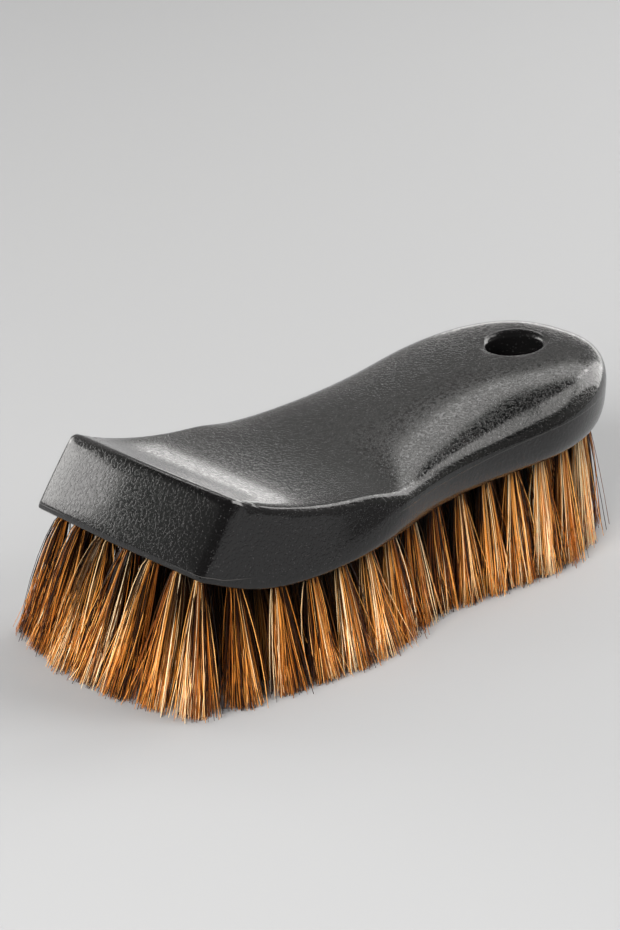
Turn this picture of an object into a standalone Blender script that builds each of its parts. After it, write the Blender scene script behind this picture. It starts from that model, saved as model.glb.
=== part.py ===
# Leather cleaning brush: a moulded plastic block with rows of horsehair tufts set in its underside.
# Metres, +Z up. The flat nose points to -X, the hang hole is at the +X end, and the hair tips
# rest on Z = 0. The brush is symmetric about the XZ plane.

import math
import random

import bmesh
import bpy
import numpy as np
from mathutils import Matrix, Vector

# Block in plan: half widths of the moulded body, at stations measured back from the nose corners
BLOCK_LENGTH = 0.150
NOSE_BODY_HALF_WIDTH = 0.0297
LOBE_AT = 0.033
LOBE_BODY_HALF_WIDTH = 0.0346
SHOULDER_AT = 0.057
SHOULDER_HALF_WIDTH = 0.0331
NECK_AT = 0.073
NECK_HALF_WIDTH = 0.0299
WAIST_AT = 0.093
WAIST_HALF_WIDTH = 0.0291
PALM_AT = 0.115
PALM_HALF_WIDTH = 0.0310
TAIL_HALF_WIDTH = 0.0331
TAIL_ROUND_FROM = 0.1085
TAIL_ROUND_POWER = 2.0

# Flat flanks cut into the body beside the nose: half widths at their foot, and how they lean in
FLANK_HALF_WIDTH_NOSE = 0.0287
CHEEK_AT = 0.015
FLANK_HALF_WIDTH_CHEEK = 0.0313
FLANK_HALF_WIDTH_LOBE = 0.0332
FLANK_END_AT = 0.058
FLANK_HALF_WIDTH_END = 0.0357
FLANK_FOOT = 0.0014
FLANK_LEAN_NOSE = 0.10
FLANK_LEAN_CHEEK = 0.145
FLANK_LEAN_LOBE = 0.19
FLANK_LEAN_SADDLE = 0.28
FLANK_LEAN_END = 0.40
FLANK_FILLET = 0.0015
CREASE_FADE = 0.0064

# Underside heights above the floor, which are the free lengths of the hair
HAIR_AT_NOSE = 0.0312
HAIR_AT_CHEEK = 0.0256
HAIR_AT_LOBE = 0.0243
HAIR_AT_NECK = 0.0272
HAIR_AT_PALM = 0.0301
HAIR_AT_TAIL = 0.0337

# Height of the widest line of the block above its underside
RIM_DEPTH_NOSE = 0.0014
RIM_DEPTH_GRIP = 0.0085
RIM_DEPTH_GROWS_TO = 0.1035

# Top of the block along its centre line, above the floor
TOP_AT_NOSE = 0.0530
TOP_AT_CHEEK = 0.0454
TOP_SLOPE_AT = 0.027
TOP_AT_SLOPE = 0.0415
SADDLE_AT = 0.045
TOP_AT_SADDLE = 0.0389
TOP_AT_SHOULDER = 0.0388
TOP_AT_NECK = 0.0409
TOP_RISE_AT = 0.089
TOP_AT_RISE = 0.0436
TOP_AT_PALM = 0.0476
HUMP_AT = 0.131
TOP_AT_HUMP = 0.0505
TOP_AT_TAIL = 0.0570
HUMP_ROUND_FROM = 0.110
HUMP_ROUND_POWER = 2.3

# Cross section: how round the shoulders are (0.5 is an ellipse, near 0 a rectangle)
ROUNDNESS_AT_NOSE = 0.083
ROUNDNESS_AT_SLOPE = 0.091
ROUNDNESS_AT_SADDLE = 0.143
ROUNDING_FROM = 0.052
ROUNDNESS_AT_START = 0.185
ROUNDNESS_AT_SHOULDER = 0.285
ROUNDNESS_AT_NECK = 0.430
ROUNDNESS_AT_WAIST = 0.500
ROUNDNESS_AT_PALM = 0.445
ROUNDNESS_AT_HUMP = 0.360

# Corner between the sides and the underside
CORNER_POWER = 2.2
NOSE_CORNER_RADIUS = 0.0016
GRIP_CORNER_RADIUS = 0.0032

# Flat nose: it leans back over its height and bows forward at the middle
NOSE_LEAN_RUN = 0.0106
NOSE_BOW = 0.0022
NOSE_LEAN_FADES_BY = 0.042
NOSE_FILLET = 0.0019

# Hang hole, square to the sloping top
HOLE_FROM_TAIL = 0.0212
HOLE_RADIUS = 0.0070
HOLE_LIP_RADIUS = 0.0016
HOLE_LIP_SINK = 0.0003
HOLE_LIP_FROM = 0.40
HOLE_CUT_ABOVE = 0.0030

# Tuft rows: each is a slice of the block with the hair fused to it
ROW_PITCH = 0.0089
FIRST_ROW_AT = 0.0055
LAST_ROW_FROM_TAIL = 0.0105
SLICE_WIDTH = 0.0046
SLICE_DEPTH = 0.0026
SLICE_EDGE_MARGIN = 0.0008
SLICE_GAP = 0.0003
HOLE_WALL = 0.0010
TUFT_PITCH = 0.0083

# Hair: four strands stand for each tuft
STRAND_RADIUS_ROOT = 0.00062
STRAND_RADIUS_TIP = 0.00036
STRAND_EMBED = 0.0010
STRAND_TRIM = 0.0005
ROOT_SPREAD = 0.00085
TIP_SPREAD = 0.25
TIP_JITTER = 0.00035
STRAND_BOW = 1.35
STRAND_STEPS = 2

# How far the hair reaches past the block at the floor, as it fans out
FRONT_REACH = 0.0114
FRONT_CORNER_REACH = 0.0045
REACH_FADES_BY = 0.040
TAIL_REACH = 0.0013
SIDE_REACH_NOSE = 0.0022
SIDE_REACH_CHEEK = 0.0052
SIDE_REACH_LOBE = 0.0060
SIDE_REACH_SHOULDER = 0.0062
SIDE_REACH_NECK = 0.0031
SIDE_REACH_WAIST = 0.0050
SIDE_REACH_PALM = 0.0038
SIDE_REACH_TAIL = 0.0018
FAN_CORNER_POWER = 2.3

# Mesh fineness
STATION_STEP = 0.0027
FINE_FROM = 0.046
FINE_TO = 0.061
TAIL_STEPS = 14
TOP_POINTS = 8
TOP_CLOSES_UP = 1.5
FLANK_POINTS = 9
CORNER_POINTS = 7
NOSE_FACE_RINGS = 3
CREASE_STATIONS = 9
CREASE_SEARCH = 30
HALVINGS = 26
LEAN_PASSES = 6
LIP_STEPS = 5
HOLE_STEPS = 40
SLOPE_STEP = 0.001
MERGE = 0.00005
SHARP_ANGLE = 35


def clear_scene():
    for obj in list(bpy.data.objects):
        bpy.data.objects.remove(obj, do_unlink=True)


def natural_spline(stations):
    # Natural cubic spline through (place, value) pairs
    place = np.array([s[0] for s in stations])
    value = np.array([s[1] for s in stations])
    gap = np.diff(place)
    count = len(place)
    matrix = np.eye(count)
    right = np.zeros(count)
    for i in range(1, count - 1):
        matrix[i, i - 1:i + 2] = gap[i - 1], 2 * (gap[i - 1] + gap[i]), gap[i]
        right[i] = 6 * ((value[i + 1] - value[i]) / gap[i] - (value[i] - value[i - 1]) / gap[i - 1])
    bend = np.linalg.solve(matrix, right)

    def curve(s):
        i = min(max(int(np.searchsorted(place, s)) - 1, 0), count - 2)
        before = s - place[i]
        after = place[i + 1] - s
        cubic = (bend[i] * after ** 3 + bend[i + 1] * before ** 3) / (6 * gap[i])
        start = (value[i] / gap[i] - bend[i] * gap[i] / 6) * after
        end = (value[i + 1] / gap[i] - bend[i + 1] * gap[i] / 6) * before
        return float(cubic + start + end)
    return curve


def ease(t):
    t = min(max(t, 0.0), 1.0)
    return t * t * (3 - 2 * t)


def blend(a, b, t):
    return a + (b - a) * t


def round_off(s, start, end, power):
    # 1 up to start, then down to 0 at end along a rounded quarter
    t = min(max((s - start) / (end - start), 0.0), 1.0)
    return max(1 - t ** power, 0.0) ** (1 / power)


def soft_min(a, b, fillet):
    overlap = max(fillet - abs(a - b), 0.0) / fillet
    return min(a, b) - overlap * overlap * fillet / 4


flank_plan = natural_spline((
    (0.0, FLANK_HALF_WIDTH_NOSE),
    (CHEEK_AT, FLANK_HALF_WIDTH_CHEEK),
    (LOBE_AT, FLANK_HALF_WIDTH_LOBE),
    (FLANK_END_AT, FLANK_HALF_WIDTH_END),
))
flank_lean = natural_spline((
    (0.0, FLANK_LEAN_NOSE),
    (CHEEK_AT, FLANK_LEAN_CHEEK),
    (LOBE_AT, FLANK_LEAN_LOBE),
    (SADDLE_AT, FLANK_LEAN_SADDLE),
    (FLANK_END_AT, FLANK_LEAN_END),
))
body_plan = natural_spline((
    (0.0, NOSE_BODY_HALF_WIDTH),
    (LOBE_AT, LOBE_BODY_HALF_WIDTH),
    (SHOULDER_AT, SHOULDER_HALF_WIDTH),
    (NECK_AT, NECK_HALF_WIDTH),
    (WAIST_AT, WAIST_HALF_WIDTH),
    (PALM_AT, PALM_HALF_WIDTH),
    (BLOCK_LENGTH, TAIL_HALF_WIDTH),
))
underside_curve = natural_spline((
    (0.0, HAIR_AT_NOSE),
    (CHEEK_AT, HAIR_AT_CHEEK),
    (LOBE_AT, HAIR_AT_LOBE),
    (NECK_AT, HAIR_AT_NECK),
    (PALM_AT, HAIR_AT_PALM),
    (BLOCK_LENGTH, HAIR_AT_TAIL),
))
top_curve = natural_spline((
    (0.0, TOP_AT_NOSE),
    (CHEEK_AT, TOP_AT_CHEEK),
    (TOP_SLOPE_AT, TOP_AT_SLOPE),
    (SADDLE_AT, TOP_AT_SADDLE),
    (SHOULDER_AT, TOP_AT_SHOULDER),
    (NECK_AT, TOP_AT_NECK),
    (TOP_RISE_AT, TOP_AT_RISE),
    (PALM_AT, TOP_AT_PALM),
    (HUMP_AT, TOP_AT_HUMP),
    (BLOCK_LENGTH, TOP_AT_TAIL),
))
roundness_curve = natural_spline((
    (0.0, ROUNDNESS_AT_NOSE),
    (TOP_SLOPE_AT, ROUNDNESS_AT_SLOPE),
    (SADDLE_AT, ROUNDNESS_AT_SADDLE),
    (ROUNDING_FROM, ROUNDNESS_AT_START),
    (SHOULDER_AT, ROUNDNESS_AT_SHOULDER),
    (NECK_AT, ROUNDNESS_AT_NECK),
    (WAIST_AT, ROUNDNESS_AT_WAIST),
    (PALM_AT, ROUNDNESS_AT_PALM),
    (HUMP_AT, ROUNDNESS_AT_HUMP),
    (BLOCK_LENGTH, ROUNDNESS_AT_HUMP),
))


def rim_depth(s):
    t = min(max(s / RIM_DEPTH_GROWS_TO, 0.0), 1.0)
    return blend(RIM_DEPTH_NOSE, RIM_DEPTH_GRIP, 1 - (1 - t) ** 2)


def rim_height(s):
    # The widest line of the block, where its two mould halves meet
    return underside_curve(s) + rim_depth(s)


def underside(s):
    corner = round_off(s, BLOCK_LENGTH - GRIP_CORNER_RADIUS, BLOCK_LENGTH, CORNER_POWER)
    return rim_height(s) - rim_depth(s) * corner


def top_height(s):
    rise = top_curve(s) - rim_height(s)
    return rim_height(s) + rise * round_off(s, HUMP_ROUND_FROM, BLOCK_LENGTH, HUMP_ROUND_POWER)


def body_half_width(s):
    return body_plan(s) * round_off(s, TAIL_ROUND_FROM, BLOCK_LENGTH, TAIL_ROUND_POWER)


def flank_half_width(s, z):
    # The flank flares out along the block, leans in as it goes up, and runs out past its end
    along = min(s, FLANK_END_AT)
    return flank_plan(along) + (s - along) - flank_lean(along) * (z - underside(s) - FLANK_FOOT)


def body_depth(s, y, z):
    # About how far a point above the rim lies inside the body before its flank is cut off
    wide = body_half_width(s)
    high = top_height(s) - rim_height(s)
    power = 1 / roundness_curve(s)
    across = y / wide
    up = (z - rim_height(s)) / high
    size = (across ** power + up ** power) ** (1 / power)
    steepness = math.hypot(across ** (power - 1) / wide, up ** (power - 1) / high) * size ** (1 - power)
    return (1 - size) / steepness


def outline_point(s, turn):
    # Where a ray from the middle of the section, turned down from the vertical, meets its outline
    inside = 0.0
    outside = body_half_width(s) + top_height(s) - rim_height(s)
    for _ in range(HALVINGS):
        middle = (inside + outside) / 2
        y = middle * math.sin(turn)
        z = rim_height(s) + middle * math.cos(turn)
        if soft_min(body_depth(s, y, z), flank_half_width(s, z) - y, FLANK_FILLET) > 0:
            inside = middle
        else:
            outside = middle
    return inside * math.sin(turn), rim_height(s) + inside * math.cos(turn)


def corner_slope(s):
    # Up over across of the shoulder of the section, seen from its middle
    return (top_height(s) - rim_height(s)) / body_half_width(s)


def crease_slope(s):
    # The same for the line where the top meets the flank: the first direction where the flank cuts
    turn_step = math.pi / 2 / CREASE_SEARCH
    for i in range(1, CREASE_SEARCH):
        y, z = outline_point(s, i * turn_step)
        if flank_half_width(s, z) - y < body_depth(s, y, z):
            return 1 / math.tan((i - 0.5) * turn_step)
    return corner_slope(s)


CREASE_ENDS_AT = FLANK_END_AT - CREASE_FADE
crease_curve = natural_spline([
    (s, crease_slope(s)) for s in np.linspace(0.0, CREASE_ENDS_AT, CREASE_STATIONS)
])


def crease_at(s):
    past = ease((s - CREASE_ENDS_AT) / (FLANK_END_AT - CREASE_ENDS_AT))
    return blend(crease_curve(min(s, CREASE_ENDS_AT)), corner_slope(s), past)


def upper_point(s, along):
    # The outline's mesh points: along runs from 0 at the centre of the top to TOP_POINTS beside the
    # crease, then on the crease itself and down the flank to the rim
    slope = crease_at(s)
    beside = FLANK_FILLET / body_half_width(s)
    below = min(beside / slope, 1 / FLANK_POINTS)
    if along <= TOP_POINTS:
        across = (1 - beside) * (1 - (1 - along / TOP_POINTS) ** TOP_CLOSES_UP)
        return outline_point(s, math.atan2(across, slope))
    down = along - TOP_POINTS - 1
    up = slope if down == 0 else slope * (1 - below) * (1 - (down - 1) / (FLANK_POINTS - 1))
    return outline_point(s, math.atan2(1.0, up))


def lower_point(s, angle):
    # From the rim (angle 0) down round the corner to the flat underside (a right angle)
    growth = (rim_depth(s) - RIM_DEPTH_NOSE) / (RIM_DEPTH_GRIP - RIM_DEPTH_NOSE)
    radius = min(blend(NOSE_CORNER_RADIUS, GRIP_CORNER_RADIUS, growth), body_half_width(s) / 2)
    out = max(math.cos(angle), 0.0) ** (2 / CORNER_POWER)
    z = rim_height(s) - (rim_height(s) - underside(s)) * math.sin(angle) ** (2 / CORNER_POWER)
    return soft_min(body_half_width(s) - radius + radius * out, flank_half_width(s, z), FLANK_FILLET), z


def section(s, point):
    # Half of a cross section, from the centre of the top round to the centre of the underside
    corner = point - TOP_POINTS - FLANK_POINTS - 1
    if corner <= 0:
        return upper_point(s, point)
    if corner <= CORNER_POINTS:
        return lower_point(s, math.pi / 2 * corner / CORNER_POINTS)
    return 0.0, underside(s)


def underside_half_width(s):
    return lower_point(s, math.pi / 2)[0]


SECTION_POINTS = TOP_POINTS + FLANK_POINTS + CORNER_POINTS + 3
NOSE_BASE = underside(0.0)
NOSE_RISE = top_height(NOSE_LEAN_RUN) - NOSE_BASE


def nose_shift(y, z):
    lean = NOSE_LEAN_RUN * (z - NOSE_BASE) / NOSE_RISE
    bow = NOSE_BOW * (1 - (y / FLANK_HALF_WIDTH_NOSE) ** 2)
    return lean - bow


def ring(s_base):
    # A cross section that leans with the nose at the front and stands upright further back
    fade = 1 - ease(s_base / NOSE_LEAN_FADES_BY)
    points = []
    for k in range(SECTION_POINTS):
        s = s_base
        for _ in range(LEAN_PASSES):
            y, z = section(s, k)
            s = s_base + fade * nose_shift(y, z)
        points.append((s, y, z))
    return points


def nose_rings():
    # The nose face from its centre outwards, then the fillet that joins it to the sides
    rings = []
    edge = ring(0.0)
    height = NOSE_BASE + NOSE_RISE / 2
    inner = 1 - NOSE_FILLET / FLANK_HALF_WIDTH_NOSE
    inner_high = 1 - 2 * NOSE_FILLET / NOSE_RISE
    for i in range(1, NOSE_FACE_RINGS + 1):
        share = i / (NOSE_FACE_RINGS + 1)
        rings.append([flat_nose_point(y * inner * share, height + (z - height) * inner_high * share, 0.0)
                      for _, y, z in edge])
    for turn in (math.pi / 2, math.pi / 3, math.pi / 6):
        back = NOSE_FILLET * (1 - math.sin(turn))
        inset = NOSE_FILLET * (1 - math.cos(turn))
        narrow = 1 - inset / FLANK_HALF_WIDTH_NOSE
        low = 1 - 2 * inset / NOSE_RISE
        rings.append([flat_nose_point(y * narrow, height + (z - height) * low, back)
                      for _, y, z in ring(back)])
    return rings, flat_nose_point(0.0, height, 0.0)


def flat_nose_point(y, z, back):
    return back + nose_shift(y, z), y, z


def stations():
    # Even steps along the block, half as long round the end of the flank, then steps that close up
    # towards the round tail
    tail_from = BLOCK_LENGTH - HOLE_FROM_TAIL
    places = [NOSE_FILLET]
    while places[-1] < tail_from - STATION_STEP:
        fine = FINE_FROM < places[-1] < FINE_TO
        places.append(places[-1] + (STATION_STEP / 2 if fine else STATION_STEP))
    for i in range(TAIL_STEPS):
        places.append(tail_from + HOLE_FROM_TAIL * math.sin(math.pi / 2 * i / TAIL_STEPS))
    return places


def to_world(point):
    s, y, z = point
    return Vector((s - ORIGIN_AT, y, z))


def loft_half_block():
    bm = bmesh.new()
    front, centre = nose_rings()
    rings = front + [ring(s) for s in stations()]
    rows = [[bm.verts.new(to_world(p)) for p in points] for points in rings]
    nose = bm.verts.new(to_world(centre))
    tail = bm.verts.new(to_world((BLOCK_LENGTH, 0.0, rim_height(BLOCK_LENGTH))))
    for k in range(SECTION_POINTS - 1):
        bm.faces.new((nose, rows[0][k + 1], rows[0][k]))
        bm.faces.new((tail, rows[-1][k], rows[-1][k + 1]))
        for a, b in zip(rows, rows[1:]):
            bm.faces.new((a[k], a[k + 1], b[k + 1], b[k]))
    bmesh.ops.remove_doubles(bm, verts=bm.verts, dist=MERGE / 10)
    bmesh.ops.recalc_face_normals(bm, faces=bm.faces)
    return bm


def mesh_object(name, bm, collection):
    mesh = bpy.data.meshes.new(name)
    bm.to_mesh(mesh)
    bm.free()
    obj = bpy.data.objects.new(name, mesh)
    collection.objects.link(obj)
    return obj


def make_collection(name):
    collection = bpy.data.collections.new(name)
    bpy.context.scene.collection.children.link(collection)
    return collection


def make_material(name, colour, roughness):
    material = bpy.data.materials.new(name)
    material.use_nodes = True
    shader = material.node_tree.nodes["Principled BSDF"]
    shader.inputs["Base Color"].default_value = (*colour, 1.0)
    shader.inputs["Roughness"].default_value = roughness
    shader.inputs["Metallic"].default_value = 0.0
    return material


def as_guide(obj):
    obj.hide_render = True
    obj.display_type = 'WIRE'


def add_boolean(obj, operand, operation):
    modifier = obj.modifiers.new(operation.title(), 'BOOLEAN')
    modifier.operation = operation
    modifier.object = operand
    modifier.solver = 'EXACT'


def shade(obj, sharp_angle):
    obj.data.shade_smooth()
    obj.data.set_sharp_from_angle(angle=math.radians(sharp_angle))


HOLE_AT = BLOCK_LENGTH - HOLE_FROM_TAIL
HOLE_SLOPE = (top_height(HOLE_AT + SLOPE_STEP) - top_height(HOLE_AT - SLOPE_STEP)) / (2 * SLOPE_STEP)
HOLE_TILT = math.atan(HOLE_SLOPE)
HOLE_EXIT_AT = HOLE_AT + (top_height(HOLE_AT) - underside(HOLE_AT)) * HOLE_SLOPE


def hole_cutter(collection):
    # A turned plug: the bore, the round of the lip, and a cone that carries the lip on above the block
    lip_centre = HOLE_RADIUS + HOLE_LIP_RADIUS
    cone_rise = HOLE_CUT_ABOVE + HOLE_LIP_RADIUS * (1 - math.cos(HOLE_LIP_FROM))
    cone_start = lip_centre - HOLE_LIP_RADIUS * math.sin(HOLE_LIP_FROM)
    profile = [(0.0, HOLE_CUT_ABOVE), (cone_start + cone_rise / math.tan(HOLE_LIP_FROM), HOLE_CUT_ABOVE)]
    for i in range(LIP_STEPS + 1):
        turn = blend(HOLE_LIP_FROM, math.pi / 2, i / LIP_STEPS)
        profile.append((lip_centre - HOLE_LIP_RADIUS * math.sin(turn),
                        HOLE_LIP_RADIUS * (math.cos(turn) - 1)))
    below = -2 * (top_height(HOLE_AT) - underside(HOLE_AT))
    profile += [(HOLE_RADIUS, below), (0.0, below)]
    bm = bmesh.new()
    verts = [bm.verts.new((r, 0.0, z)) for r, z in profile]
    for a, b in zip(verts, verts[1:]):
        bm.edges.new((a, b))
    cutter = mesh_object("hang_hole_cutter", bm, collection)
    screw = cutter.modifiers.new("Screw", 'SCREW')
    screw.steps = HOLE_STEPS
    screw.render_steps = HOLE_STEPS
    screw.use_merge_vertices = True
    screw.merge_threshold = MERGE
    cutter.location = to_world((HOLE_AT, 0.0, top_height(HOLE_AT) - HOLE_LIP_SINK))
    cutter.rotation_euler = (0.0, -HOLE_TILT, 0.0)
    as_guide(cutter)
    return cutter


def row_stations():
    room = BLOCK_LENGTH - FIRST_ROW_AT - LAST_ROW_FROM_TAIL
    count = int(room / ROW_PITCH) + 1
    return [FIRST_ROW_AT + ROW_PITCH * i for i in range(count)]


def slice_spans(s):
    # Stretches of a row across the block: one, or two beside the hang hole
    edges = s - SLICE_WIDTH / 2, s + SLICE_WIDTH / 2
    reach = min(underside_half_width(edge) for edge in edges) - SLICE_EDGE_MARGIN
    clear = HOLE_RADIUS + HOLE_WALL + SLICE_GAP
    if abs(s - HOLE_EXIT_AT) < clear + SLICE_WIDTH / 2:
        return [("left", clear, reach), ("right", -reach, -clear)]
    return [("", -reach, reach)]


def slice_matrix(s, low, high):
    slope = math.atan((underside(s + SLOPE_STEP) - underside(s - SLOPE_STEP)) / (2 * SLOPE_STEP))
    place = to_world((s, (low + high) / 2, underside(s)))
    return Matrix.Translation(place) @ Matrix.Rotation(-slope, 4, 'Y')


def slice_box(bm, s, low, high, gap, below):
    # A bar of the block's own plastic, flush with the underside; gap grows it into its slot
    size = (SLICE_WIDTH + 2 * gap, high - low + 2 * gap, SLICE_DEPTH + gap + below)
    lift = Matrix.Translation((0.0, 0.0, (SLICE_DEPTH + gap - below) / 2))
    matrix = slice_matrix(s, low, high) @ lift @ Matrix.Diagonal((*size, 1.0))
    bmesh.ops.create_cube(bm, size=1.0, matrix=matrix)


def slot_cutter(collection):
    bm = bmesh.new()
    for s in row_stations():
        for _, low, high in slice_spans(s):
            slice_box(bm, s, low, high, SLICE_GAP, SLICE_DEPTH)
    cutter = mesh_object("slot_cutter", bm, collection)
    as_guide(cutter)
    return cutter


side_reach = natural_spline((
    (0.0, SIDE_REACH_NOSE),
    (CHEEK_AT, SIDE_REACH_CHEEK),
    (LOBE_AT, SIDE_REACH_LOBE),
    (SHOULDER_AT, SIDE_REACH_SHOULDER),
    (NECK_AT, SIDE_REACH_NECK),
    (WAIST_AT, SIDE_REACH_WAIST),
    (PALM_AT, SIDE_REACH_PALM),
    (BLOCK_LENGTH, SIDE_REACH_TAIL),
))


def tip_of(s, y, reach):
    # Where the middle of a tuft rooted at (s, y) meets the floor: the field fans out all round
    outer = reach - SLICE_WIDTH / 2
    corner = min(abs(y) / outer, 1.0) ** FAN_CORNER_POWER
    ahead = blend(FRONT_REACH, FRONT_CORNER_REACH, corner) - TIP_SPREAD * ROW_PITCH
    front = ease((REACH_FADES_BY - s) / (REACH_FADES_BY - FIRST_ROW_AT)) ** 2
    behind = TAIL_REACH * ease((s - PALM_AT) / (BLOCK_LENGTH - PALM_AT))
    edge = reach + SLICE_EDGE_MARGIN + side_reach(s) - TIP_SPREAD * TUFT_PITCH
    return s - (FIRST_ROW_AT + ahead) * front + behind, y * edge / outer


def add_strand(bm, root, tip, turn):
    # A three sided strand, bowed outwards, that runs a little below the floor until it is trimmed
    height = root.z + STRAND_TRIM
    top = bmesh.ops.create_circle(bm, cap_ends=True, segments=3, radius=STRAND_RADIUS_ROOT,
                                  matrix=Matrix.Translation(root) @ Matrix.Rotation(turn, 4, 'Z'))
    end = top["verts"][0].link_faces[0]
    for i in range(1, STRAND_STEPS + 1):
        down = i / STRAND_STEPS
        lean = down ** STRAND_BOW
        middle = Vector((blend(root.x, tip.x, lean), blend(root.y, tip.y, lean), root.z - down * height))
        was = end.calc_center_median()
        narrow = blend(STRAND_RADIUS_ROOT, STRAND_RADIUS_TIP, down)
        scale = narrow / blend(STRAND_RADIUS_ROOT, STRAND_RADIUS_TIP, (i - 1) / STRAND_STEPS)
        grown = bmesh.ops.extrude_face_region(bm, geom=[end])["geom"]
        if i > 1:
            bm.faces.remove(end)
        end = [g for g in grown if isinstance(g, bmesh.types.BMFace)][0]
        for v in end.verts:
            v.co = middle + (v.co - was) * scale


def row_strands(s, low, high, row, collection, name):
    bm = bmesh.new()
    reach = max(abs(low), abs(high))
    first = low + SLICE_WIDTH / 2
    last = high - SLICE_WIDTH / 2
    count = max(2, round((last - first) / TUFT_PITCH) + 1)
    step = (last - first) / (count - 1)
    for i in range(count):
        y = first + step * i
        tip_s, tip_y = tip_of(s, y, reach)
        wide = (tip_of(s, y + step / 2, reach)[1] - tip_of(s, y - step / 2, reach)[1]) * TIP_SPREAD
        deep = (tip_of(s + ROW_PITCH / 2, y, reach)[0] - tip_of(s - ROW_PITCH / 2, y, reach)[0]) * TIP_SPREAD
        for along in (-1, 1):
            for across in (-1, 1):
                outward = across if y >= 0 else -across
                dice = random.Random(1009 * row + 31 * round(abs(y) / MERGE) + 7 * along + 3 * outward)
                jitter_s = dice.uniform(-TIP_JITTER, TIP_JITTER)
                jitter_y = dice.uniform(-TIP_JITTER, TIP_JITTER) * across
                root = to_world((s + along * ROOT_SPREAD, y + across * ROOT_SPREAD, 0.0))
                root.z = underside(s + along * ROOT_SPREAD) + STRAND_EMBED
                tip = to_world((tip_s + along * deep + jitter_s, tip_y + across * wide + jitter_y, 0.0))
                add_strand(bm, root, tip, math.pi if across > 0 else 0.0)
    trim = bmesh.ops.bisect_plane(bm, geom=bm.verts[:] + bm.edges[:] + bm.faces[:],
                                  plane_co=(0.0, 0.0, 0.0), plane_no=(0.0, 0.0, -1.0), clear_outer=True)
    cut_edges = [g for g in trim["geom_cut"] if isinstance(g, bmesh.types.BMEdge)]
    bmesh.ops.holes_fill(bm, edges=cut_edges)
    bmesh.ops.recalc_face_normals(bm, faces=bm.faces)
    strands = mesh_object(name, bm, collection)
    as_guide(strands)
    return strands


def tuft_rows(collection, cutters, hair):
    rows = []
    for row, s in enumerate(row_stations(), start=1):
        for side, low, high in slice_spans(s):
            name = "tuft_row_%02d" % row + ("_" + side if side else "")
            bm = bmesh.new()
            slice_box(bm, s, low, high, 0.0, 0.0)
            obj = mesh_object(name, bm, collection)
            strands = row_strands(s, low, high, row, cutters, name + "_strands")
            obj.data.materials.append(hair)
            strands.data.materials.append(hair)
            add_boolean(obj, strands, 'UNION')
            rows.append(obj)
    return rows


def brush_block(collection, cutters, plastic):
    block = mesh_object("brush_block", loft_half_block(), collection)
    block.data.materials.append(plastic)
    mirror = block.modifiers.new("Mirror", 'MIRROR')
    mirror.use_axis = (False, True, False)
    mirror.merge_threshold = MERGE
    add_boolean(block, hole_cutter(cutters), 'DIFFERENCE')
    add_boolean(block, slot_cutter(cutters), 'DIFFERENCE')
    shade(block, SHARP_ANGLE)
    return block


# The origin is under the middle of the whole brush, from the front tips to the tail
ORIGIN_AT = (BLOCK_LENGTH - FRONT_REACH - STRAND_RADIUS_TIP) / 2


def build():
    clear_scene()
    collection = make_collection("leather_cleaning_brush")
    cutters = make_collection("cutters")
    plastic = make_material("black_plastic", (0.022, 0.021, 0.021), 0.42)
    hair = make_material("horsehair", (0.46, 0.21, 0.07), 0.55)
    carrier = bpy.data.objects.new("brush", None)
    collection.objects.link(carrier)
    for piece in [brush_block(collection, cutters, plastic)] + tuft_rows(collection, cutters, hair):
        piece.parent = carrier


build()
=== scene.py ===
import math

import bpy
import numpy as np
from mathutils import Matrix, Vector


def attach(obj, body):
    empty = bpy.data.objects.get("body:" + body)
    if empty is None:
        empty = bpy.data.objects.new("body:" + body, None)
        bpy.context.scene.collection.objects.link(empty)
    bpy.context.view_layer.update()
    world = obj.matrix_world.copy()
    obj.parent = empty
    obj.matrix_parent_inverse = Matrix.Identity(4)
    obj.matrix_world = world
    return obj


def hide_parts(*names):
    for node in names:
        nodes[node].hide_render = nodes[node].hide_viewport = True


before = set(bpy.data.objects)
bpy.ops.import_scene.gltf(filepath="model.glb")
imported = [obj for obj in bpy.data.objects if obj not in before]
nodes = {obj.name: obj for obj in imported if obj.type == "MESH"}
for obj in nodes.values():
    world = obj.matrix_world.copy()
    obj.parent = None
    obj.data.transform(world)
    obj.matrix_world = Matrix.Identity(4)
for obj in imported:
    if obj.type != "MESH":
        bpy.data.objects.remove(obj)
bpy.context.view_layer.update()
print("frame loaded:", len(nodes), "nodes")


# camera, standing where the photograph was taken

camera = {
    "place": (-0.37952, -0.40198, 0.24643),
    "heading": 47.397,              # degrees from +X
    "down": 21.234,                 # degrees below the horizon
    "lens": 96.33,
    "sensor": 36.0,
}


def addCamera():
    heading = math.radians(camera["heading"])
    bpy.ops.object.camera_add(
        location=camera["place"],
        rotation=(math.radians(90 - camera["down"]), 0, heading - math.pi / 2))
    cam = bpy.context.object
    cam.name = "photoCamera"
    cam.data.sensor_fit = 'VERTICAL'
    cam.data.sensor_height = camera["sensor"]
    cam.data.lens = camera["lens"]
    bpy.context.scene.camera = cam


addCamera()
print("camera set")


# studio: pale floor, walls that are pale behind the brush and dark behind the camera, soft boxes

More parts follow.
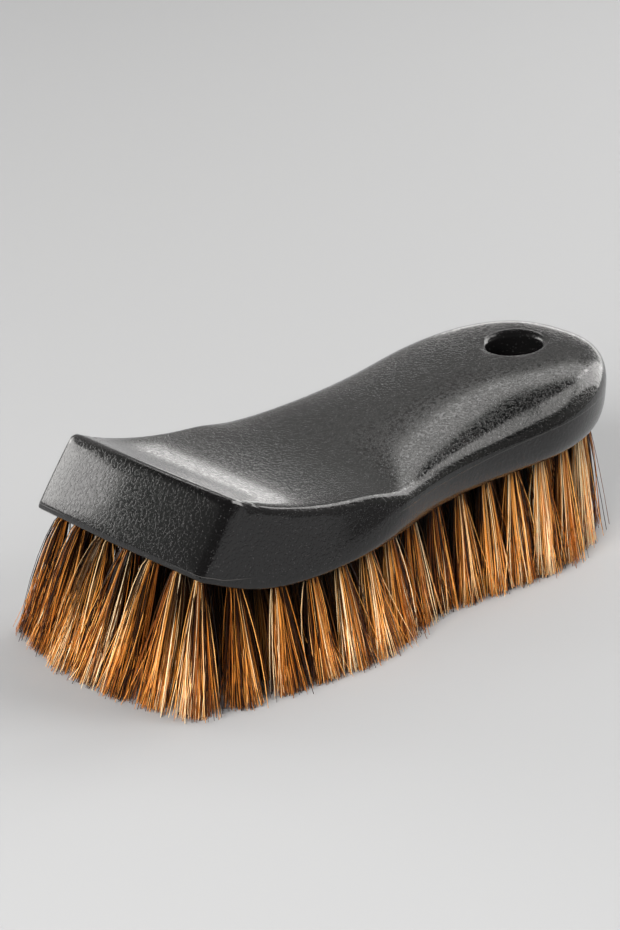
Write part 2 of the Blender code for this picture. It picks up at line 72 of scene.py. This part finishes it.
studio = {
    "floorSize": 9.0,
    "floorColour": (0.440, 0.446, 0.455, 1),
    "floorRoughness": 0.75,
    "floorGloss": 0.25,
    "wallColour": (1.0, 0.985, 0.965, 1),
    "wallBright": 0.43,             # behind the brush
    "wallDark": 0.043,              # behind the camera
    "wallAhead": (-0.75, 0.30),     # how far ahead a direction points where all is dark, all is bright
    "wallEnds": (0.55, 0.72),       # how far up a direction points where wall turns into ceiling
    "ceiling": 0.06,                # share of the wall's light that the ceiling has
    "lampColour": (1.0, 0.985, 0.965),
    "lampAim": (0.0, 0.0, 0.03),
    # name: azimuth, elevation, distance, width, height, watts, seen in gloss
    "softBoxes": {
        "backBox": (29, 3, 1.60, 1.15, 0.26, 2.1, True),
        "shelfBox": (40, 45, 1.60, 1.40, 0.25, 3.9, True),
        "stripBox": (0, 25, 1.50, 0.60, 1.25, 10.8, True),
        "flareBox": (-12, 56, 1.40, 0.62, 0.30, 2.1, True),
        "leftBox": (105, 13, 1.50, 1.18, 0.50, 9.3, True),
        "hairLeftBox": (200, 27, 1.20, 0.60, 0.60, 21.0, False),
        "hairRightBox": (-40, 30, 1.30, 0.60, 0.60, 9.5, False),
        "topBox": (60, 82, 1.30, 0.90, 0.90, 1.3, False),
    },
}


def newMaterial(name):
    material = bpy.data.materials.new(name)
    material.use_nodes = True
    tree = material.node_tree
    return material, tree.nodes, tree.links, tree.nodes["Principled BSDF"]


def floorMaterial():
    material, _, _, shader = newMaterial("paleFloor")
    shader.inputs["Base Color"].default_value = studio["floorColour"]
    shader.inputs["Roughness"].default_value = studio["floorRoughness"]
    shader.inputs["Specular IOR Level"].default_value = studio["floorGloss"]
    return material


def addFloor():
    bpy.ops.mesh.primitive_plane_add(size=studio["floorSize"])
    floor = bpy.context.object
    floor.name = "studioFloor"
    floor.data.materials.append(floorMaterial())


def mapRange(made, links, value, fromMin, fromMax, toMin, toMax, smooth=False):
    node = made.new("ShaderNodeMapRange")
    if smooth:
        node.interpolation_type = 'SMOOTHSTEP'
    node.inputs["From Min"].default_value = fromMin
    node.inputs["From Max"].default_value = fromMax
    node.inputs["To Min"].default_value = toMin
    node.inputs["To Max"].default_value = toMax
    links.new(value, node.inputs["Value"])
    return node.outputs[0]


def mathOn(made, links, operation, *values):
    node = made.new("ShaderNodeMath")
    node.operation = operation
    for socket, value in zip(node.inputs, values):
        if isinstance(value, (int, float)):
            socket.default_value = value
        else:
            links.new(value, socket)
    return node.outputs[0]


def addWorld():
    world = bpy.data.worlds.new("studioWorld")
    bpy.context.scene.world = world
    world.use_nodes = True
    made, links = world.node_tree.nodes, world.node_tree.links
    background = made["Background"]
    background.inputs["Color"].default_value = studio["wallColour"]
    coords = made.new("ShaderNodeTexCoord")
    split = made.new("ShaderNodeSeparateXYZ")
    links.new(coords.outputs["Generated"], split.inputs[0])
    heading = math.radians(camera["heading"])
    ahead = mathOn(made, links, 'ADD',
                   mathOn(made, links, 'MULTIPLY', split.outputs["X"], math.cos(heading)),
                   mathOn(made, links, 'MULTIPLY', split.outputs["Y"], math.sin(heading)))
    wall = mapRange(made, links, ahead, *studio["wallAhead"],
                    studio["wallDark"], studio["wallBright"], smooth=True)
    up = mapRange(made, links, split.outputs["Z"], *studio["wallEnds"],
                  1.0, studio["ceiling"], smooth=True)
    links.new(mathOn(made, links, 'MULTIPLY', wall, up), background.inputs["Strength"])


def addSoftBoxes():
    aim = Vector(studio["lampAim"])
    for name, (azimuth, elevation, distance, width, height, watts, inGloss) in studio["softBoxes"].items():
        az, el = math.radians(azimuth), math.radians(elevation)
        away = Vector((math.cos(el) * math.cos(az), math.cos(el) * math.sin(az), math.sin(el)))
        bpy.ops.object.light_add(type='AREA', location=aim + away * distance)
        lamp = bpy.context.object
        lamp.name = name
        lamp.rotation_euler = away.to_track_quat('Z', 'Y').to_euler()
        lamp.data.shape = 'RECTANGLE'
        lamp.data.size = width
        lamp.data.size_y = height
        lamp.data.energy = watts
        lamp.data.color = studio["lampColour"]
        lamp.visible_glossy = inGloss


addFloor()
addWorld()
addSoftBoxes()
print("studio set")


# shader groups: the moulded grain, and the fine line where the two mould halves met

grain = {
    "size": 0.0008,
    "detail": 2.0,
    "roughness": 0.60,
    "distortion": 0.3,
    "landEdge": (0.46, 0.54),       # noise level where a pit turns into a land
    "pits": 0.15,                   # how much the fine pits add to the height
    "pitDensity": 1.7,              # pits for each grain
    # pale specks painted into the colour as glints of the grain
    "speckDensity": 2.0,
    "speckEdge": (0.20, 0.06),      # distance from a speck's middle where it begins, where it is full
    "speckAbove": 0.68,             # a cell holds a speck if its random number is above this
}

mouldLine = {
    # metres along the brush from its middle, height of the line, how clearly it shows
    "course": [(-0.0691, 0.0326, 0.0), (-0.0662, 0.0315, 0.9), (-0.0590, 0.0294, 0.7),
               (-0.0500, 0.0286, 0.0), (-0.0130, 0.0328, 0.0), (-0.0105, 0.0331, 0.8),
               (0.0110, 0.0350, 0.6), (0.0330, 0.0377, 0.5), (0.0560, 0.0402, 0.7),
               (0.0809, 0.0422, 0.9)],
    "halfWidth": 0.00011,
    "edge": (1.0, 0.3),             # share of the half width where it begins, where it is full
    "holeAt": (0.0605, 0.0, 0.0),   # no line inside the hang hole
    "holeClear": 0.0105,
}


def newGroup(name, inputs, outputs):
    group = bpy.data.node_groups.new(name, 'ShaderNodeTree')
    for socket, kind, value in inputs:
        group.interface.new_socket(socket, in_out='INPUT', socket_type=kind).default_value = value
    for socket, kind in outputs:
        group.interface.new_socket(socket, in_out='OUTPUT', socket_type=kind)
    inlet = group.nodes.new("NodeGroupInput")
    outlet = group.nodes.new("NodeGroupOutput")
    return group, group.nodes, group.links, inlet, outlet


def makeGrainGroup():
    # flat winding lands with fine pits, and tiny pale specks painted into the colour as glints of the
    # grain
    group, made, links, inlet, outlet = newGroup(
        "mouldedGrain",
        [("Size", 'NodeSocketFloat', grain["size"]), ("Pits", 'NodeSocketFloat', grain["pits"])],
        [("Height", 'NodeSocketFloat'), ("Specks", 'NodeSocketFloat')])
    coords = made.new("ShaderNodeTexCoord")
    scale = mathOn(made, links, 'DIVIDE', 1.0, inlet.outputs["Size"])
    pebbles = made.new("ShaderNodeTexNoise")
    pebbles.inputs["Detail"].default_value = grain["detail"]
    pebbles.inputs["Roughness"].default_value = grain["roughness"]
    pebbles.inputs["Distortion"].default_value = grain["distortion"]
    links.new(coords.outputs["Object"], pebbles.inputs["Vector"])
    links.new(scale, pebbles.inputs["Scale"])
    lands = mapRange(made, links, pebbles.outputs["Fac"], *grain["landEdge"], 0.0, 1.0, smooth=True)
    cells = made.new("ShaderNodeTexVoronoi")
    links.new(coords.outputs["Object"], cells.inputs["Vector"])
    links.new(mathOn(made, links, 'MULTIPLY', scale, grain["pitDensity"]), cells.inputs["Scale"])
    pits = mathOn(made, links, 'MULTIPLY', cells.outputs["Distance"], inlet.outputs["Pits"])
    links.new(mathOn(made, links, 'ADD', lands, pits), outlet.inputs["Height"])
    # painted glints: cells that hold a pale speck
    glintCells = made.new("ShaderNodeTexVoronoi")
    links.new(coords.outputs["Object"], glintCells.inputs["Vector"])
    links.new(mathOn(made, links, 'MULTIPLY', scale, grain["speckDensity"]), glintCells.inputs["Scale"])
    near = mapRange(made, links, glintCells.outputs["Distance"], *grain["speckEdge"], 0.0, 1.0)
    picked = made.new("ShaderNodeSeparateColor")
    links.new(glintCells.outputs["Color"], picked.inputs["Color"])
    few = mathOn(made, links, 'GREATER_THAN', picked.outputs[0], grain["speckAbove"])
    links.new(mathOn(made, links, 'MULTIPLY', near, few), outlet.inputs["Specks"])
    return group


def floatCurve(made, links, value, points):
    node = made.new("ShaderNodeFloatCurve")
    curve = node.mapping.curves[0]
    while len(curve.points) < len(points):
        curve.points.new(0.5, 0.5)
    for point, place in zip(curve.points, points):
        point.location = place
    node.mapping.update()
    links.new(value, node.inputs["Value"])
    return node.outputs[0]


def makeMouldLineGroup():
    group, made, links, inlet, outlet = newGroup(
        "mouldLine",
        [("Half Width", 'NodeSocketFloat', mouldLine["halfWidth"])],
        [("Mask", 'NodeSocketFloat')])
    along, heights, clearness = zip(*mouldLine["course"])
    start, end = along[0], along[-1]
    low, high = min(heights), max(heights)
    coords = made.new("ShaderNodeTexCoord")
    split = made.new("ShaderNodeSeparateXYZ")
    links.new(coords.outputs["Object"], split.inputs[0])
    share = mapRange(made, links, split.outputs["X"], start, end, 0.0, 1.0)
    places = [(x - start) / (end - start) for x in along]
    rises = [(z - low) / (high - low) for z in heights]
    height = floatCurve(made, links, share, list(zip(places, rises)))
    height = mapRange(made, links, height, 0.0, 1.0, low, high)
    shows = floatCurve(made, links, share, list(zip(places, clearness)))
    away = mathOn(made, links, 'ABSOLUTE', mathOn(made, links, 'SUBTRACT', split.outputs["Z"], height))
    beside = mathOn(made, links, 'DIVIDE', away, inlet.outputs["Half Width"])
    line = mapRange(made, links, beside, *mouldLine["edge"], 0.0, 1.0, smooth=True)
    flat = made.new("ShaderNodeCombineXYZ")
    links.new(split.outputs["X"], flat.inputs["X"])
    links.new(split.outputs["Y"], flat.inputs["Y"])
    fromHole = made.new("ShaderNodeVectorMath")
    fromHole.operation = 'DISTANCE'
    links.new(flat.outputs[0], fromHole.inputs[0])
    fromHole.inputs[1].default_value = mouldLine["holeAt"]
    outside = mathOn(made, links, 'GREATER_THAN', fromHole.outputs["Value"], mouldLine["holeClear"])
    mask = mathOn(made, links, 'MULTIPLY', mathOn(made, links, 'MULTIPLY', line, shows), outside)
    links.new(mask, outlet.inputs["Mask"])
    return group


grainGroup = makeGrainGroup()
mouldLineGroup = makeMouldLineGroup()
print("shader groups made")


# brush block: black plastic straight from the mould

block = {
    "colour": (0.0050, 0.0048, 0.0049, 1),
    # colour of the painted glints of the grain
    "speckColour": (0.150, 0.147, 0.144, 1),
    "lineColour": (0.07, 0.067, 0.065, 1),
    "roughness": (0.10, 0.19),      # in the pits, on the lands
    "landHeight": 1.2,              # just above the highest that the grain group gives
    "grainSize": 0.00085,
    "grainDepth": 0.000019,
    "lineDepth": 0.00005,
    "sharpFrom": 34,                # degrees between faces
    "mergeWithin": 0.00001,
}


def placeGroup(made, group):
    node = made.new("ShaderNodeGroup")
    node.node_tree = group
    return node


def bumpFrom(made, links, height, depth):
    node = made.new("ShaderNodeBump")
    node.inputs["Distance"].default_value = depth
    links.new(height, node.inputs["Height"])
    return node


def mixColours(made):
    # the mix node, and its sockets in colour mode: factor, first colour, second colour, result
    node = made.new("ShaderNodeMix")
    node.data_type = 'RGBA'
    return node, node.inputs[0], node.inputs[6], node.inputs[7], node.outputs[2]


def blockMaterial():
    material, made, links, shader = newMaterial("blockPlastic")
    surface = placeGroup(made, grainGroup)
    surface.inputs["Size"].default_value = block["grainSize"]
    line = placeGroup(made, mouldLineGroup)
    bump = bumpFrom(made, links, surface.outputs["Height"], block["grainDepth"])
    ridge = bumpFrom(made, links, line.outputs["Mask"], block["lineDepth"])
    links.new(bump.outputs["Normal"], ridge.inputs["Normal"])
    links.new(ridge.outputs["Normal"], shader.inputs["Normal"])
    # pale specks painted over the black as glints of the grain
    _, glintShare, plain, paintedGlint, glinted = mixColours(made)
    plain.default_value = block["colour"]
    paintedGlint.default_value = block["speckColour"]
    links.new(surface.outputs["Specks"], glintShare)
    _, lineShare, beside, onLine, lined = mixColours(made)
    links.new(glinted, beside)
    onLine.default_value = block["lineColour"]
    links.new(line.outputs["Mask"], lineShare)
    links.new(lined, shader.inputs["Base Color"])
    rough = mapRange(made, links, surface.outputs["Height"], 0.0, block["landHeight"], *block["roughness"])
    links.new(rough, shader.inputs["Roughness"])
    return material


def addBlockBody():
    # a copy of the CAD block, its loose triangles joined up so that it shades smoothly
    node = nodes["brush_block"]
    body = bpy.data.objects.new("blockBody", node.data.copy())
    bpy.context.scene.collection.objects.link(body)
    bpy.ops.object.select_all(action='DESELECT')
    body.select_set(True)
    bpy.context.view_layer.objects.active = body
    bpy.ops.mesh.customdata_custom_splitnormals_clear()
    bpy.ops.object.mode_set(mode='EDIT')
    bpy.ops.mesh.select_all(action='SELECT')
    bpy.ops.mesh.remove_doubles(threshold=block["mergeWithin"])
    bpy.ops.object.mode_set(mode='OBJECT')
    bpy.ops.object.shade_smooth_by_angle(angle=math.radians(block["sharpFrom"]))
    body.data.materials.clear()
    body.data.materials.append(blockPlastic)
    return body


blockPlastic = blockMaterial()
blockBody = addBlockBody()
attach(blockBody, "root")
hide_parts("brush_block")
print("block dressed")


# horsehair, and the drilled bars of the block that hold it

hair = {
    "perTuft": 270,
    "tuftPitch": 0.0083,
    "tuckIn": (0.0022, 0.0028),     # the end tufts of the first two rows stand further in
    "firstSeed": 40,
    "noseRows": 3,
    "roundEndFrom": "14",           # the rows from this one on lie beside the hang hole
    # one strand
    "sides": 3,
    "steps": 6,
    "stepPower": 1.4,               # above 1 sets the steps closer near the root
    "thickness": 0.00011,
    "thickShare": (0.75, 1.3),
    "taper": 0.35,
    "sideBow": 0.0004,
    # one tuft: tight at the root, fanned out at the tips
    "rootRadius": 0.0011,
    "rootReach": 0.9,               # share of the hole's depth that the strands reach up into it
    "tipRadius": 0.0058,
    "tipShare": (0.30, 1.0),
    "tipScatter": 0.0006,
    "tipRise": 0.0007,
    "tipClear": 0.00005,            # from the floor
    "wideShare": 0.2,
    "wideBy": 1.35,
    "holdBack": 0.5,                # how far the hairs that lean out of the field are held to its outline
    "fullLean": 0.006,              # lean of a tuft that is held back fully
    "leastLean": 0.000001,
    "strays": 0.03,
    "strayBy": 1.6,
    "strayBow": 3.0,
    # depth in the field: the side of an edge tuft that faces the field is deep in it as well; deep hairs
    # fan out sooner and get painted shade
    "deepSide": -0.25,
    "innerBow": (0.65, 0.85),       # hair deep in the field fans out sooner
    "outerBow": (1.0, 1.25),
    # share of hairs that fan out right below the block: all round, and at the far side of the nose
    "looseShare": (0.06, 0.24),
    "looseBow": (0.62, 0.85),
    # share of the loose hairs that get painted shade
    "looseDeep": 0.45,
    # tone: from dark strands through brown and orange to cream
    "tones": [(0.00, (0.010, 0.004, 0.003, 1)), (0.22, (0.040, 0.014, 0.007, 1)),
              (0.42, (0.300, 0.082, 0.011, 1)), (0.62, (0.680, 0.235, 0.033, 1)),
              (0.80, (0.950, 0.460, 0.120, 1)), (1.00, (1.000, 0.780, 0.480, 1))],
    "toneBeta": (2.3, 1.7),
    "tuftTone": 0.10,
    "lockTone": 0.22,               # one side of a tuft is lighter than the other
    "darkShare": 0.22,
    "darkBy": 0.25,
    # painted shade: hairs deep in the field are darker in colour
    "innerTone": 0.75,
    "strayTone": (0.6, 1.0),
    # painted shade along a strand: how much of the tone shows at the root, a third down, and at the tip;
    # roots are painted darker, the outer hairs' tips lighter
    "shadeAt": (0, 0.33, 1),
    "outerShade": (0.50, 1.00, 1.50),
    "innerShade": (0.02, 0.10, 0.75),
    "roughness": 0.34,
    "gloss": 0.35,
}

bar = {
    "depth": 0.0026,
    "overlap": 0.00035,             # past the slice all round: just over the slot's gap, so none shows
    "proud": 0.00002,               # how far it stands out of the underside
    "holeRadius": 0.00185,
    "holeDepth": 0.0018,
    "holeShare": 0.44,              # of the distance between two roots that a hole may take
    "holeSides": 24,
    "edge": 0.00012,                # bevel
}

cadRow = {
    "upwards": 0.85,                # faces whose normals point up this far are the slice's upper face
    "floorWithin": 0.0001,          # points lower than this are strand tips
    "roundTo": 5,                   # decimals, to merge the copies of one point
}


def hairMaterial():
    material, made, links, shader = newMaterial("horsehair")
    tone = made.new("ShaderNodeAttribute")
    tone.attribute_name = "strandTone"
    shade = made.new("ShaderNodeAttribute")
    shade.attribute_name = "strandShade"
    ramp = made.new("ShaderNodeValToRGB")
    stops = ramp.color_ramp.elements
    while len(stops) < len(hair["tones"]):
        stops.new(0.5)
    for stop, (place, colour) in zip(stops, hair["tones"]):
        stop.position = place
        stop.color = colour
    links.new(tone.outputs["Fac"], ramp.inputs["Fac"])
    # the tone multiplied by the strand's painted shade
    darker, share, full, factor, shaded = mixColours(made)
    darker.blend_type = 'MULTIPLY'
    share.default_value = 1.0
    links.new(ramp.outputs["Color"], full)
    links.new(shade.outputs["Fac"], factor)
    links.new(shaded, shader.inputs["Base Color"])
    shader.inputs["Roughness"].default_value = hair["roughness"]
    shader.inputs["Specular IOR Level"].default_value = hair["gloss"]
    return material


def rowLayout(node):
    # the middle, tilt, width and ends of the slice's upper face, and its tufts as pairs of root and tip
    mesh = node.data
    upper = [p for p in mesh.polygons if p.normal.z > cadRow["upwards"]]
    corners = [mesh.vertices[i].co for p in upper for i in p.vertices]
    front = min(corners, key=lambda v: v.x)
    rear = max(corners, key=lambda v: v.x)
    low = min(v.y for v in corners)
    high = max(v.y for v in corners)
    alongAxis = Vector((rear.x - front.x, 0, rear.z - front.z))
    width = alongAxis.length
    alongAxis.normalize()
    upAxis = Vector((-alongAxis.z, 0, alongAxis.x))
    middle = Vector(((front.x + rear.x) / 2, 0, (front.z + rear.z) / 2))
    between = high - low - width
    count = max(2, round(between / hair["tuftPitch"]) + 1)
    feet = [v.co for v in mesh.vertices if v.co.z < cadRow["floorWithin"]]
    tips = sorted({(round(p.y, cadRow["roundTo"]), round(p.x, cadRow["roundTo"])) for p in feet})
    tufts = []
    for i, group in enumerate(np.array_split(np.array(tips), count)):
        y = low + width / 2 + between * i / (count - 1)
        root = middle - upAxis * bar["depth"] + Vector((0, y, 0))
        tufts.append((root, Vector((group[:, 1].mean(), group[:, 0].mean(), 0))))
    return middle, upAxis, width, low, high, tufts


def tuftPaths(root, tip, inner, loose, dice):
    # the centre lines of one tuft's hairs: tight at the root, fanned out at the floor
    n = hair["perTuft"]
    steps = np.linspace(0, 1, hair["steps"] + 1) ** hair["stepPower"]
    turn = dice.uniform(0, 2 * math.pi, n)
    out = np.sqrt(dice.uniform(0, 1, n))
    offset = np.stack([np.cos(turn), np.sin(turn)], 1) * out[:, None]
    lean = np.array([tip.x - root.x, tip.y - root.y])
    reach = np.linalg.norm(lean)
    leanWay = lean / max(reach, hair["leastLean"])
    spread = offset * hair["tipRadius"] * dice.uniform(*hair["tipShare"], n)[:, None]
    spread[dice.uniform(0, 1, n) < hair["wideShare"]] *= hair["wideBy"]
    spread += dice.normal(0, hair["tipScatter"], (n, 2))
    # the outermost hairs of an edge tuft keep to the outline
    outward = spread @ leanWay
    hold = hair["holdBack"] * min(reach / hair["fullLean"], 1.0)
    spread -= np.outer(np.clip(outward, 0, None) * hold, leanWay)
    stray = dice.uniform(0, 1, n) < hair["strays"]
    spread[stray] *= hair["strayBy"]
    rootAt = np.empty((n, 3))
    rootAt[:, :2] = np.array([root.x, root.y]) + offset * hair["rootRadius"]
    rootAt[:, 2] = root.z + bar["holeDepth"] * hair["rootReach"]
    tipAt = np.empty((n, 3))
    tipAt[:, :2] = np.array([tip.x, tip.y]) + spread
    tipAt[:, 2] = np.abs(dice.normal(0, hair["tipRise"], n)) + hair["tipClear"]
    deep = np.full(n, inner) | (offset @ leanWay < hair["deepSide"])
    bow = np.where(deep, dice.uniform(*hair["innerBow"], n), dice.uniform(*hair["outerBow"], n))
    early = dice.uniform(0, 1, n) < loose
    bow = np.where(early, dice.uniform(*hair["looseBow"], n), bow)
    # some loose hairs get the painted shade of deep ones
    deep |= early & (dice.uniform(0, 1, n) < hair["looseDeep"])
    side = dice.normal(0, hair["sideBow"], (n, 2))
    side[stray] *= hair["strayBow"]
    path = np.empty((n, len(steps), 3))
    bulge = np.sin(math.pi * steps)
    for axis in (0, 1):
        across = (tipAt - rootAt)[:, axis, None] * steps[None, :] ** bow[:, None]
        path[:, :, axis] = rootAt[:, axis, None] + across + side[:, axis, None] * bulge[None, :]
    path[:, :, 2] = rootAt[:, 2, None] + (tipAt - rootAt)[:, 2, None] * steps
    return path, steps, turn, deep, stray


def tuftStrands(root, tip, inner, loose, dice):
    # thin strands on the centre lines, with their tone and their shade from root to tip
    path, steps, turn, deep, stray = tuftPaths(root, tip, inner, loose, dice)
    n = len(path)
    sides = hair["sides"]
    thick = hair["thickness"] * dice.uniform(*hair["thickShare"], n)
    thick = thick[:, None] * (1 - hair["taper"] * steps)[None, :]
    twist = dice.uniform(0, 2 * math.pi, n)
    rings = np.empty((n, len(steps), sides, 3))
    for k in range(sides):
        angle = twist + k * 2 * math.pi / sides
        rings[:, :, k, 0] = path[:, :, 0] + np.cos(angle)[:, None] * thick
        rings[:, :, k, 1] = path[:, :, 1] + np.sin(angle)[:, None] * thick
        rings[:, :, k, 2] = path[:, :, 2]
    lock = hair["lockTone"] * np.sin(turn + dice.uniform(0, 2 * math.pi))
    tone = np.clip(dice.beta(*hair["toneBeta"], n) + dice.normal(0.0, hair["tuftTone"]) + lock, 0, 1)
    tone[dice.uniform(0, 1, n) < hair["darkShare"]] *= hair["darkBy"]
    # painted shade: hairs deep in the field, and some loose ones, are darker in colour
    tone[deep] *= hair["innerTone"]
    tone[stray] = dice.uniform(*hair["strayTone"], np.count_nonzero(stray))
    # painted shade from root to tip, darkest for hairs deep in the field
    outerShade = np.interp(steps, hair["shadeAt"], hair["outerShade"])
    innerShade = np.interp(steps, hair["shadeAt"], hair["innerShade"])
    shade = np.where(deep[:, None], innerShade[None, :], outerShade[None, :])
    return rings.reshape(-1, 3), np.repeat(tone, len(steps) * sides), np.repeat(shade.ravel(), sides)


def strandMesh(name, points):
    # side quads and end caps of every strand
    sides = hair["sides"]
    ringCount = hair["steps"] + 1
    strandCount = len(points) // (ringCount * sides)
    one = []
    for i in range(ringCount - 1):
        for k in range(sides):
            a, b = i * sides + k, i * sides + (k + 1) % sides
            one.append((a, b, b + sides, a + sides))
    starts = np.arange(strandCount) * ringCount * sides
    quads = (starts[:, None, None] + np.array(one)[None]).reshape(-1, 4)
    ring = np.arange(sides)
    caps = np.concatenate([starts[:, None] + ring[::-1],
                           starts[:, None] + (ringCount - 1) * sides + ring])
    mesh = bpy.data.meshes.new(name)
    mesh.vertices.add(len(points))
    mesh.vertices.foreach_set("co", points.astype(np.float32).ravel())
    loops = np.concatenate([quads.ravel(), caps.ravel()])
    mesh.loops.add(len(loops))
    mesh.loops.foreach_set("vertex_index", loops.astype(np.int32))
    loopStarts = np.concatenate([np.arange(len(quads)) * 4, quads.size + np.arange(len(caps)) * sides])
    mesh.polygons.add(len(loopStarts))
    mesh.polygons.foreach_set("loop_start", loopStarts.astype(np.int32))
    mesh.polygons.foreach_set("use_smooth", np.ones(len(loopStarts), bool))
    mesh.update(calc_edges=True)
    mesh.validate()
    return mesh


def addHairRow(name, tufts, endRow, noseRow, seed):
    # only the tufts along the edge of the field are outer ones
    dice = np.random.default_rng(seed)
    last = len(tufts) - 1
    looseNear, looseFar = hair["looseShare"]
    made = []
    for i, (root, tip) in enumerate(tufts):
        inner = 0 < i < last and not endRow
        loose = looseFar if noseRow and root.y > 0 else looseNear
        made.append(tuftStrands(root, tip, inner, loose, dice))
    points, tones, shades = (np.concatenate(parts) for parts in zip(*made))
    mesh = strandMesh(name, points)
    for attributeName, values in (("strandTone", tones), ("strandShade", shades)):
        attribute = mesh.attributes.new(attributeName, 'FLOAT', 'POINT')
        attribute.data.foreach_set("value", values.astype(np.float32))
    mesh.materials.append(horsehair)
    row = bpy.data.objects.new(name, mesh)
    bpy.context.scene.collection.objects.link(row)
    return row


def addDrill(tufts, tilt):
    # one object with a round bit at every tuft, each clear of its neighbours
    apart = min((b[0] - a[0]).length for a, b in zip(tufts, tufts[1:]))
    radius = min(bar["holeRadius"], apart * bar["holeShare"])
    bits = []
    for root, _ in tufts:
        bpy.ops.mesh.primitive_cylinder_add(
            vertices=bar["holeSides"], radius=radius, depth=2 * bar["holeDepth"],
            location=root, rotation=(0, tilt, 0))
        bits.append(bpy.context.object)
    bpy.ops.object.select_all(action='DESELECT')
    for bit in bits:
        bit.select_set(True)
    bpy.context.view_layer.objects.active = bits[0]
    bpy.ops.object.join()
    return bits[0]


def addBar(name, middle, upAxis, width, low, high, tufts):
    # a bar of the block's plastic in its slot, with a round hole drilled for every tuft
    bpy.ops.object.select_all(action='DESELECT')
    size = (width + 2 * bar["overlap"], high - low + 2 * bar["overlap"], bar["depth"] + bar["overlap"])
    tilt = math.atan2(upAxis.x, upAxis.z)
    centre = middle + upAxis * (bar["overlap"] / 2 - bar["depth"] / 2 - bar["proud"])
    centre.y = (low + high) / 2
    bpy.ops.mesh.primitive_cube_add(size=1, location=centre, rotation=(0, tilt, 0), scale=size)
    made = bpy.context.object
    made.name = name
    bpy.ops.object.transform_apply(location=False, rotation=False, scale=True)
    bevel = made.modifiers.new("softEdges", 'BEVEL')
    bevel.width = bar["edge"]
    bevel.segments = 1
    drill = addDrill(tufts, tilt)
    holes = made.modifiers.new("tuftHoles", 'BOOLEAN')
    holes.operation = 'DIFFERENCE'
    holes.solver = 'EXACT'
    holes.object = drill
    bpy.context.view_layer.objects.active = made
    made.select_set(True)
    drill.select_set(False)
    bpy.ops.object.modifier_apply(modifier="softEdges")
    bpy.ops.object.modifier_apply(modifier="tuftHoles")
    bpy.ops.object.transform_apply(location=True, rotation=True, scale=True)
    bpy.data.objects.remove(drill, do_unlink=True)
    made.data.materials.clear()
    made.data.materials.append(blockPlastic)
    return made


horsehair = hairMaterial()
rowNames = sorted(name for name in nodes if name.startswith("tuft_row_"))
for number, rowName in enumerate(rowNames):
    middle, upAxis, width, low, high, tufts = rowLayout(nodes[rowName])
    place = rowName.replace("tuft_row_", "")
    if number < len(hair["tuckIn"]):
        tufts[0][0].y += hair["tuckIn"][number]
        tufts[-1][0].y -= hair["tuckIn"][number]
    endRow = number == 0 or place[:2] >= hair["roundEndFrom"]
    noseRow = number < hair["noseRows"]
    hairRow = addHairRow("hairRow_" + place, tufts, endRow, noseRow, hair["firstSeed"] + number)
    rowBar = addBar("tuftBar_" + place, middle, upAxis, width, low, high, tufts)
    for piece, slotName in ((hairRow, "hair"), (rowBar, "block")):
        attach(piece, "root")
        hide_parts(rowName)
print("hair rows:", len(rowNames))


bpy.context.scene.view_settings.view_transform = 'Standard'
